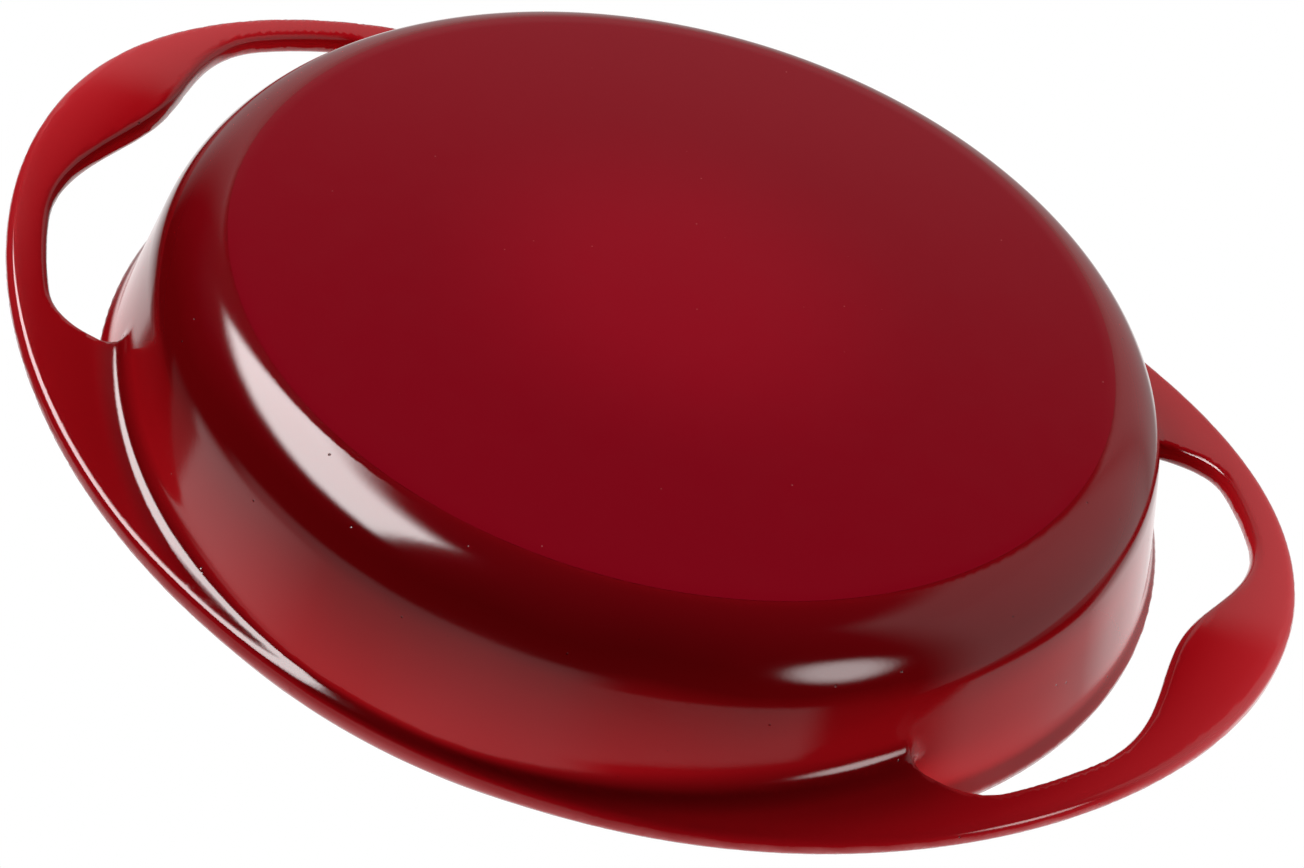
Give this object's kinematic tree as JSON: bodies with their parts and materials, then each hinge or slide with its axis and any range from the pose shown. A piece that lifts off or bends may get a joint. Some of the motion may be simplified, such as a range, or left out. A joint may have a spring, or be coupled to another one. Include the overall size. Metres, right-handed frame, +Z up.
{
  "type": "tarte tatin pan",
  "caption": "Shallow round baking pan of enamelled cast iron with a flat base, convex shoulder, leaning wall and an elliptical rim band that swings out into loop handles with thumb pads.",
  "frame": {"origin": "middle of the flat base, on the face that the pan stands on", "axes": "+Z up out of the pan, +X along the handles, +Y across them"},
  "size_m": [0.3298, 0.2642, 0.0517],
  "materials": {
    "cast_iron": "as cast, hidden under the enamel",
    "red_gloss_enamel": "glossy cherry red vitreous enamel",
    "red_satin_enamel": "satin cherry red vitreous enamel",
    "black_satin_enamel": "satin black vitreous enamel",
    "ground_coat": "dull dark enamel ground coat"
  },
  "bodies": {
    "root": {"pan_casting": "cast_iron", "left_handle": "cast_iron", "right_handle": "cast_iron", "outer_enamel": "red_gloss_enamel", "base_enamel": "red_satin_enamel", "inner_enamel": "black_satin_enamel", "rim_ground_coat": "ground_coat"}
  },
  "joints": []
}
